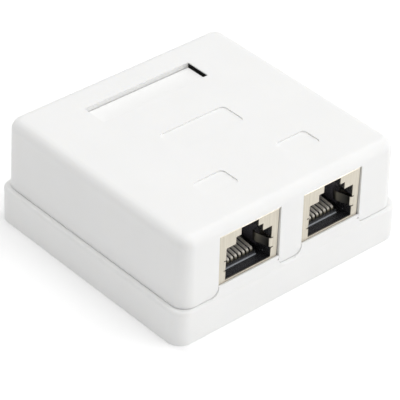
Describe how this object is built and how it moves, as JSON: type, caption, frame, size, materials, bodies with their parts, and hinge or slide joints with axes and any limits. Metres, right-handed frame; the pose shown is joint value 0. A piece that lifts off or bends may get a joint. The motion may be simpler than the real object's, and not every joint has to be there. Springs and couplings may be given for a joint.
{
  "type": "surface mount jack box",
  "caption": "Low white wall box with shielded data ports in its front wall, a lift-off cover, a label strip and punch-down terminals inside.",
  "frame": {"origin": "middle of the underside of the base", "axes": "+X to the right seen from the ports, +Y from the ports to the cable side, +Z out of the wall or up from the surface it lies on"},
  "size_m": [0.06, 0.0564, 0.0242],
  "materials": {
    "case_white": "injection-moulded white ABS, satin-polished",
    "label_white": "moulded white polycarbonate strip",
    "shield_nickel": "stamped and folded, nickel plated",
    "insert_black": "moulded black nylon",
    "contact_bronze": "phosphor bronze wire, plated",
    "terminal_tinned": "stamped bronze blade, tinned",
    "terminal_block_ivory": "moulded PBT",
    "board_green": "glass-epoxy laminate with solder mask",
    "screw_zinc": "zinc-plated steel",
    "clamp_white": "moulded nylon"
  },
  "bodies": {
    "base": {"base": "case_white", "circuit_board": "board_green", "cable_clamp": "clamp_white", "board_screws": "screw_zinc", "clamp_screws": "screw_zinc", "left_jack_shield": "shield_nickel", "left_jack_insert": "insert_black", "left_terminal_block": "terminal_block_ivory", "left_jack_contact_1": "contact_bronze", "left_terminal_1": "terminal_tinned", "left_jack_contact_2": "contact_bronze", "left_terminal_2": "terminal_tinned", "left_jack_contact_3": "contact_bronze", "left_terminal_3": "terminal_tinned", "left_jack_contact_4": "contact_bronze", "left_terminal_4": "terminal_tinned", "left_jack_contact_5": "contact_bronze", "left_terminal_5": "terminal_tinned", "left_jack_contact_6": "contact_bronze", "left_terminal_6": "terminal_tinned", "left_jack_contact_7": "contact_bronze", "left_terminal_7": "terminal_tinned", "left_jack_contact_8": "contact_bronze", "left_terminal_8": "terminal_tinned", "right_jack_shield": "shield_nickel", "right_jack_insert": "insert_black", "right_terminal_block": "terminal_block_ivory", "right_jack_contact_1": "contact_bronze", "right_terminal_1": "terminal_tinned", "right_jack_contact_2": "contact_bronze", "right_terminal_2": "terminal_tinned", "right_jack_contact_3": "contact_bronze", "right_terminal_3": "terminal_tinned", "right_jack_contact_4": "contact_bronze", "right_terminal_4": "terminal_tinned", "right_jack_contact_5": "contact_bronze", "right_terminal_5": "terminal_tinned", "right_jack_contact_6": "contact_bronze", "right_terminal_6": "terminal_tinned", "right_jack_contact_7": "contact_bronze", "right_terminal_7": "terminal_tinned", "right_jack_contact_8": "contact_bronze", "right_terminal_8": "terminal_tinned"},
    "cover": {"cover": "case_white"},
    "label_strip": {"label_strip": "label_white"}
  },
  "joints": [
    {"name": "cover_lift", "type": "slide", "parent": "base", "child": "cover", "axis": [0, 0, 1], "range_m": [0, 0.03]},
    {"name": "label_lift", "type": "slide", "parent": "cover", "child": "label_strip", "axis": [0, 0, 1], "range_m": [0, 0.008]}
  ]
}
